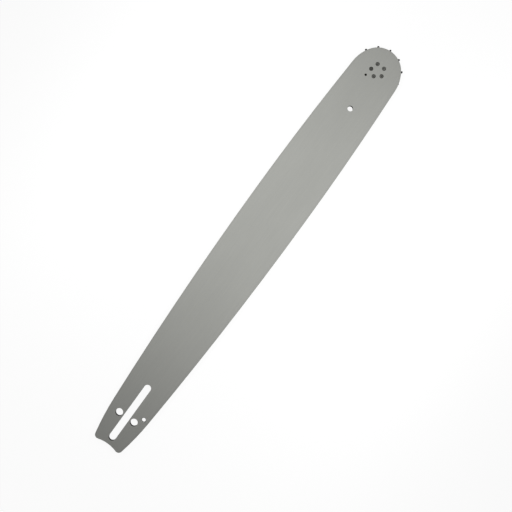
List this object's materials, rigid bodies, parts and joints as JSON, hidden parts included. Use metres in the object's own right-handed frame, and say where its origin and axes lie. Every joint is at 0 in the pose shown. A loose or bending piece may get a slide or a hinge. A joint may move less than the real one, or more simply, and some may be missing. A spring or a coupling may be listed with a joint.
{
  "type": "chainsaw guide bar",
  "caption": "Long flat chainsaw guide bar with bowed rails, a chain groove, a riveted sprocket nose on a roller bearing, a stud slot, tensioner holes and an oil hole.",
  "frame": {"origin": "centre of the stud slot at mid-thickness", "axes": "+X along the bar to the nose, +Y across it away from the oil hole, +Z out of the upper side plate"},
  "size_m": [0.562, 0.0694, 0.0042],
  "materials": {
    "plate_coating": "satin grey coating",
    "core_steel": "bare rolled steel",
    "bearing_steel": "ground hardened steel, greased",
    "rivet_steel": "dark phosphated steel",
    "sprocket_steel": "black oxide hardened steel"
  },
  "bodies": {
    "bar": {"side_plate_upper": "plate_coating", "side_plate_lower": "plate_coating", "core_plate": "core_steel", "bearing_race": "bearing_steel", "nose_rivets": "rivet_steel"},
    "sprocket": {"nose_sprocket": "sprocket_steel"},
    "roller_ring": {"bearing_roller_01": "bearing_steel", "bearing_roller_02": "bearing_steel", "bearing_roller_03": "bearing_steel", "bearing_roller_04": "bearing_steel", "bearing_roller_05": "bearing_steel", "bearing_roller_06": "bearing_steel", "bearing_roller_07": "bearing_steel", "bearing_roller_08": "bearing_steel", "bearing_roller_09": "bearing_steel", "bearing_roller_10": "bearing_steel", "bearing_roller_11": "bearing_steel", "bearing_roller_12": "bearing_steel", "bearing_roller_13": "bearing_steel", "bearing_roller_14": "bearing_steel", "bearing_roller_15": "bearing_steel", "bearing_roller_16": "bearing_steel", "bearing_roller_17": "bearing_steel", "bearing_roller_18": "bearing_steel", "bearing_roller_19": "bearing_steel", "bearing_roller_20": "bearing_steel", "bearing_roller_21": "bearing_steel", "bearing_roller_22": "bearing_steel", "bearing_roller_23": "bearing_steel", "bearing_roller_24": "bearing_steel", "bearing_roller_25": "bearing_steel", "bearing_roller_26": "bearing_steel", "bearing_roller_27": "bearing_steel", "bearing_roller_28": "bearing_steel", "bearing_roller_29": "bearing_steel", "bearing_roller_30": "bearing_steel"}
  },
  "joints": [
    {"name": "sprocket_spin", "type": "hinge", "parent": "bar", "child": "sprocket", "pos_m": [0.487, 0, 0], "axis": [0, 0, 1], "continuous": true},
    {"name": "roller_orbit", "type": "hinge", "parent": "bar", "child": "roller_ring", "pos_m": [0.487, 0, 0], "axis": [0, 0, 1], "continuous": true}
  ],
  "couplings": [
    {"joint": "roller_orbit", "follows": "sprocket_spin", "ratio": 0.55301}
  ]
}
